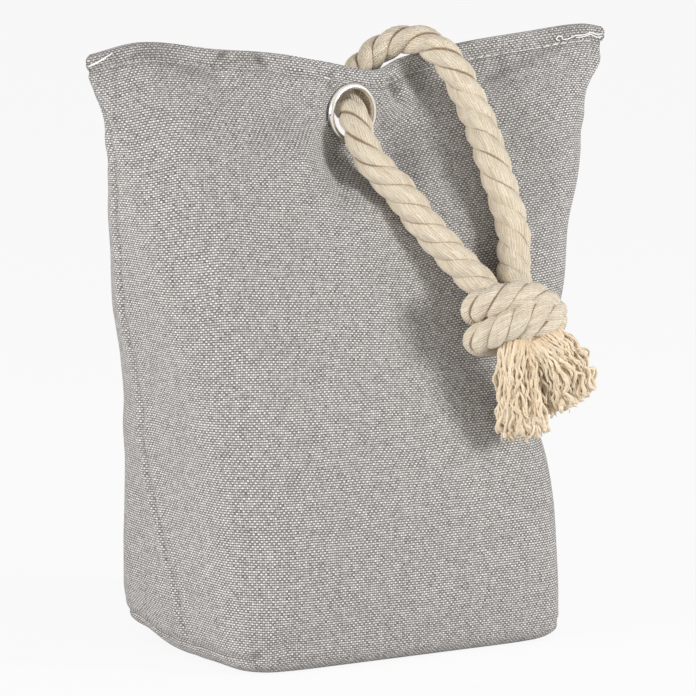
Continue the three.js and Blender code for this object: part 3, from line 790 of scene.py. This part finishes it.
def cut_hole(piece, at, towards, radius):
    """Takes a round rod along a direction out of a closed piece, through both its faces."""
    rod = np.array([[at - towards * ROD_BEHIND, at + towards * ROD_BEFORE]])
    points, quads, fans = thin_tubes(rod, np.full((1, 2), radius), HOLE_SIDES, np.array([0, 0, 1.0]))
    cutter = make_piece("hole_cutter", points, [quads, fans])
    cut = piece.modifiers.new("hole", "BOOLEAN")
    cut.operation, cut.solver, cut.object = "DIFFERENCE", "EXACT", cutter
    whole = piece.data
    piece.data = bpy.data.meshes.new_from_object(piece.evaluated_get(bpy.context.evaluated_depsgraph_get()))
    piece.modifiers.clear()
    bpy.data.meshes.remove(whole)
    bpy.data.objects.remove(cutter)


cut_hole(bag, EYELET_AT, EYELET_FRONT, HOLE_IN_CLOTH)


# The sewing threads. White lock stitches run along the top on both faces, 6 mm below the
# edge, and at both ears the machine's back-and-forth ends stand proud as loose thread.
STITCH_LENGTH, STITCH_STEP, STITCH_LIFT, STITCH_SUNK = 2.5, 3.3, 0.19, 0.12
STITCH_RADIUS, LOOSE_RADIUS, THREAD_SIDES = 0.15, 0.22, 6
STITCH_SAMPLES, LOOSE_STEPS = 600, 60
HEM_END = 97
hem_row = np.interp(1 - SEWN_DROP / BAG_HEIGHT, shares, np.arange(len(shares)))


def on_cloth(column, drop):
    """Points on the finished bag and their outward directions, at fractional columns and
    at distances below the top edge, as straight blends of the four grid points around."""
    row = np.interp(1 - np.asarray(drop) / BAG_HEIGHT, shares, np.arange(len(shares)))
    r, c = np.floor(row).astype(int), np.floor(column).astype(int)
    fr, fc = (row - r)[..., None], (column - c)[..., None]
    low, high = np.clip(r, 0, len(shares) - 1), np.clip(r + 1, 0, len(shares) - 1)
    left, right = c % BAG_COLUMNS, (c + 1) % BAG_COLUMNS
    mix = lambda g: ((g[low, left] * (1 - fc) + g[low, right] * fc) * (1 - fr)
                     + (g[high, left] * (1 - fc) + g[high, right] * fc) * fr)
    return mix(skin), unit(mix(outward(skin)))


def stitches(first, last):
    """Short threads that rise out of the cloth and dip back in, evenly spaced by length
    along the sewn line between two columns. They lie sunk in the cloth on the left and
    stand proud of it on the right."""
    columns = np.linspace(first, last, STITCH_SAMPLES)
    far = run_length(on_cloth(columns, np.full(STITCH_SAMPLES, SEWN_DROP))[0])
    starts = np.arange(0, far[-1] - STITCH_LENGTH, STITCH_STEP)
    t = np.linspace(0, 1, 7)
    column = np.interp(starts[:, None] + t * STITCH_LENGTH, far, columns)
    points, off = on_cloth(column, np.full(column.shape, SEWN_DROP))
    lift = STITCH_LIFT * ease(points[:, 3, 0], 15, 50)
    return points + off * (lift[:, None] * (1 - (2 * t - 1)**4) - STITCH_SUNK)[..., None]


def loose_thread(places, count):
    """A thread laid on the cloth through [column, drop, lift] places."""
    column, drop, lift = smooth_line(np.array(places, float), count).T
    points, off = on_cloth(column, drop)
    return points + off * lift[:, None]


def plain_thread(name):
    """White spun thread with a fine twist."""
    start, close = new_finish(name)
    place = start.node("TexCoord", None, None, 3)
    fuzz = start.noise(place, 2500.0, 2.0)
    bump = start.node("Bump", None, {"Strength": 0.3, "Distance": 0.1 * MM, "Height": fuzz})
    return close({"Base Color": fuzz.blend(colour(226, 224, 220), colour(255, 254, 251)), "Roughness": 0.6,
                  "Normal": bump})


def column_at(x, face):
    """The column on the front (-1) or back (1) at a place across, on the sewn line."""
    half = np.arange(BAG_COLUMNS // 2) + (BAG_COLUMNS // 2 if face < 0 else 0)
    across = skin[int(hem_row), half, 0]
    order = np.argsort(across)
    return float(np.interp(x, across[order], half[order]))


front_left, front_right = column_at(-HEM_END, -1), column_at(HEM_END, -1)
back_right, back_left = column_at(HEM_END, 1), column_at(-HEM_END, 1)
hem_stitches = np.concatenate([stitches(front_left, front_right), stitches(back_right, back_left)])
# place across, distance below the edge and lift off the cloth, for each loose thread
LOOSE_ENDS = (
    [[82, 4.6, 0.3], [80.6, 3.9, 0.6], [81, 3.1, 0.5], [82.6, 3.2, 0.4], [83, 4.2, 0.35], [85, 4.4, 0.5],
     [88, 3.6, 0.45], [91, 3.6, 0.5], [94, 3.0, 0.5], [97, 3.2, 0.5], [99.4, 2.6, 0.4]],
    [[99, 3.7, 0.45], [96.6, 4.1, 0.5], [94, 3.6, 0.45], [91, 4.3, 0.4], [88.5, 4.3, 0.4]],
    [[-101.2, 3.4, 0.4], [-99.2, 2.9, 0.5], [-97, 2.4, 0.5], [-94.8, 1.9, 0.45], [-92.4, 1.4, 0.4]],
    [[-101.3, 3.8, 0.4], [-99, 3.1, 0.5], [-97, 2.6, 0.5], [-95, 2.2, 0.4]])
loose_ends = np.stack([loose_thread([[column_at(x, -1), drop, lift] for x, drop, lift in rows], LOOSE_STEPS)
                       for rows in LOOSE_ENDS])
thread = plain_thread("white_sewing_thread")
for name, lines, radius, lean in (("hem_stitches", hem_stitches, STITCH_RADIUS, [0, 0, 1.0]),
                                  ("loose_thread_ends", loose_ends, LOOSE_RADIUS, [0, 1.0, 0])):
    points, quads, fans = thin_tubes(lines, np.full(lines.shape[:2], radius), THREAD_SIDES, np.array(lean))
    piece = make_piece(name, points, [quads, fans])
    piece.data.materials.append(thread)
    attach(piece, "root")


# The eyelet. A domed ring of nickel-plated brass with a polished barrel through both
# layers of cloth, rolled over a flat washer on the back.
HOLE_RADIUS, BARREL_RADIUS, FLANGE_RADIUS, FLANGE_HEIGHT = 8.2, 8.8, 10.3, 1.8
WASHER_RADIUS, WASHER_THICKNESS, GAP = 9.7, 0.9, 0.3
EYELET_ACROSS = np.array([math.cos(EYELET_YAW), math.sin(EYELET_YAW), 0.0])


def turned_ring(name, profile, segments=120):
    """A closed profile of radius and height turned round the eyelet's axis. The profile
    runs up its outside and down its bore."""
    profile = np.array(profile, float)
    psi = np.arange(segments) * 2 * math.pi / segments
    spoke = np.cos(psi)[:, None] * EYELET_ACROSS + np.sin(psi)[:, None] * np.array([0, 0, 1.0])
    points = (EYELET_AT + EYELET_FRONT * (profile[:, 1] + FABRIC_AT_EYELET / 2)[:, None, None]
              + spoke * profile[:, 0][:, None, None])
    s, j = np.meshgrid(np.arange(len(profile)), np.arange(segments), indexing="ij")
    point = lambda s, j: (s % len(profile)) * segments + j % segments
    quads = np.stack([point(s, j), point(s, j + 1), point(s + 1, j + 1), point(s + 1, j)], -1)
    return make_piece(name, points.reshape(-1, 3), [quads.reshape(-1, 4)])


def rounded(profile, count):
    """The profile's corners eased by a cubic through its points, closed on itself."""
    profile = np.array(profile, float)
    far = np.concatenate([profile, profile[:1]])
    line = smooth_line(np.column_stack([far, np.zeros(len(far))]), count + 1)
    return line[:-1, :2]


def polished_nickel(name):
    """Bright plated metal with faint hairlines round the ring and a thumbed, uneven gloss."""
    start, close = new_finish(name)
    place = start.node("TexCoord", None, None, 3)
    smear = start.noise(place, 160.0, 3.0)
    hair = start.noise(place, 2600.0, 2.0)
    bump = start.node("Bump", None, {"Strength": 0.05, "Distance": 0.05 * MM, "Height": hair})
    return close({"Base Color": (smear - 0.1).clamped().blend(colour(214, 208, 200), colour(246, 243, 238)),
                  "Metallic": 1.0, "Roughness": smear * 0.16 + 0.05, "Normal": bump})


BACK = -FABRIC_AT_EYELET - 2 * GAP - WASHER_THICKNESS
SEAT = -FABRIC_AT_EYELET - GAP
eyelet = turned_ring("eyelet_ring", rounded([
    (BARREL_RADIUS, BACK), (BARREL_RADIUS, -1.2), (BARREL_RADIUS, GAP), (FLANGE_RADIUS - 0.3, GAP),
    (FLANGE_RADIUS, GAP + 0.12), (FLANGE_RADIUS - 0.06, 0.8), (FLANGE_RADIUS - 0.35, 1.4),
    (FLANGE_RADIUS - 0.8, 1.75), (HOLE_RADIUS + 0.6, FLANGE_HEIGHT), (HOLE_RADIUS + 0.22, 1.5),
    (HOLE_RADIUS + 0.03, 1.0), (HOLE_RADIUS, 0.2), (HOLE_RADIUS, -1.8), (HOLE_RADIUS, BACK),
    (HOLE_RADIUS + 0.15, BACK - 0.5), (BARREL_RADIUS + 0.3, BACK - 0.75), (BARREL_RADIUS + 0.8, BACK - 0.45),
    (BARREL_RADIUS + 0.85, BACK - 0.08), (BARREL_RADIUS + 0.4, BACK)], 110))
washer = turned_ring("eyelet_back_washer", rounded([
    (BARREL_RADIUS + GAP, SEAT - WASHER_THICKNESS), (WASHER_RADIUS - 0.4, SEAT - WASHER_THICKNESS),
    (WASHER_RADIUS - 0.1, SEAT - 0.6), (WASHER_RADIUS, SEAT - 0.2), (WASHER_RADIUS - 0.1, SEAT),
    (BARREL_RADIUS + GAP, SEAT)], 60))
nickel = polished_nickel("polished_nickel_plate")
for ring, node in ((eyelet, "eyelet"), (washer, "eyelet_washer")):
    ring.data.materials.append(nickel)
    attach(ring, "root")
    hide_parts(node)


# The table and the light. A white table top that runs to the horizon under a white sky,
# a small soft lamp on the right, and a wide one on the left.
WHITE_SEEN = 0.9
SKY_LIGHT = 0.36
PALE_PAINT = 0.86
TABLE_REACH = 6
LAMP_AIM = Vector((0, 0, 0.1))
WHITE = (1.0, 1.0, 1.0, 1.0)


def seen_ray(start):
    """1 for a ray from the eye, or one that metal or glass passes on, and 0 for others."""
    paths = [start.node("LightPath", None, None, kind)
             for kind in ("Is Camera Ray", "Is Glossy Ray", "Is Transmission Ray")]
    return (paths[0] + paths[1] + paths[2]).clamped()


def pale_surface(name):
    """Pale paint that the eye and polished metal see almost as pure white, so that only a
    faint shadow shows on it, while it lights the bag as plain pale paint."""
    material, start = new_nodes(name)
    paint = start.node("BsdfDiffuse", None, {"Color": (PALE_PAINT, PALE_PAINT, PALE_PAINT, 1.0)})
    glow = start.node("Emission", None, {"Color": WHITE, "Strength": 1.0})
    mixed = start.node("MixShader", None, {0: seen_ray(start) * WHITE_SEEN, 1: paint, 2: glow})
    start.node("OutputMaterial", None, {"Surface": mixed})
    return material


def flat_sheet(name, centre, across, up, material):
    """A flat quad of the set, from its middle and half of each of its sides."""
    mesh = bpy.data.meshes.new(name)
    corners = [tuple(centre + i * across + j * up) for i, j in ((-1, -1), (1, -1), (1, 1), (-1, 1))]
    mesh.from_pydata(corners, [], [(0, 1, 2, 3)])
    mesh.materials.append(material)
    sheet = bpy.data.objects.new(name, mesh)
    bpy.context.scene.collection.objects.link(sheet)
    return sheet


flat_sheet("table_top", np.zeros(3), np.array([TABLE_REACH, 0, 0]), np.array([0, TABLE_REACH, 0]),
           pale_surface("pale_table"))

sky = bpy.data.worlds.new("white_sky")
sky.use_nodes = True
sky.node_tree.nodes.clear()
start = Wire(sky.node_tree)
strength = seen_ray(start) * (1 - SKY_LIGHT) + SKY_LIGHT
start.node("OutputWorld", None, {
    "Surface": start.node("Background", None, {"Color": WHITE, "Strength": strength})})
bpy.context.scene.world = sky


def soft_lamp(name, turn, rise, distance, size, power):
    """A square lamp that faces the bag's middle from a turn and a rise in degrees, about
    the same axes as the view."""
    lamp_data = bpy.data.lights.new(name, "AREA")
    lamp_data.shape, lamp_data.size, lamp_data.energy = "SQUARE", size, power
    a, e = math.radians(turn), math.radians(rise)
    towards = Vector((math.sin(a) * math.cos(e), -math.cos(a) * math.cos(e), math.sin(e)))
    lamp = bpy.data.objects.new(name, lamp_data)
    lamp.location = LAMP_AIM + towards * distance
    lamp.rotation_mode = "QUATERNION"
    lamp.rotation_quaternion = (-towards).to_track_quat("-Z", "Y")
    bpy.context.scene.collection.objects.link(lamp)


soft_lamp("lamp_front", 38, 15, 1.3, 0.34, 12.2)
soft_lamp("lamp_left", -80, 5, 1.6, 1.1, 30.8)


def dark_card(name, centre, turn, width, height):
    """An upright dark card beside the set, which only polished metal sees."""
    a = math.radians(turn)
    black, ink = new_nodes(name + "_black")
    dark = ink.node("Emission", None, {"Color": (0.03, 0.03, 0.03, 1.0)})
    ink.node("OutputMaterial", None, {"Surface": dark})
    card = flat_sheet(name, np.array(centre), np.array([math.cos(a), math.sin(a), 0.0]) * width / 2,
                      np.array([0, 0, height / 2]), black)
    card.visible_camera = card.visible_diffuse = card.visible_shadow = card.visible_transmission = False


dark_card("card_left", (-1.1, -0.6, 0.0), -60, 0.9, 0.36)
dark_card("card_behind_eye", (-0.9, -1.9, 0.9), -25, 0.5, 0.5)

bpy.context.scene.view_settings.view_transform = "Standard"
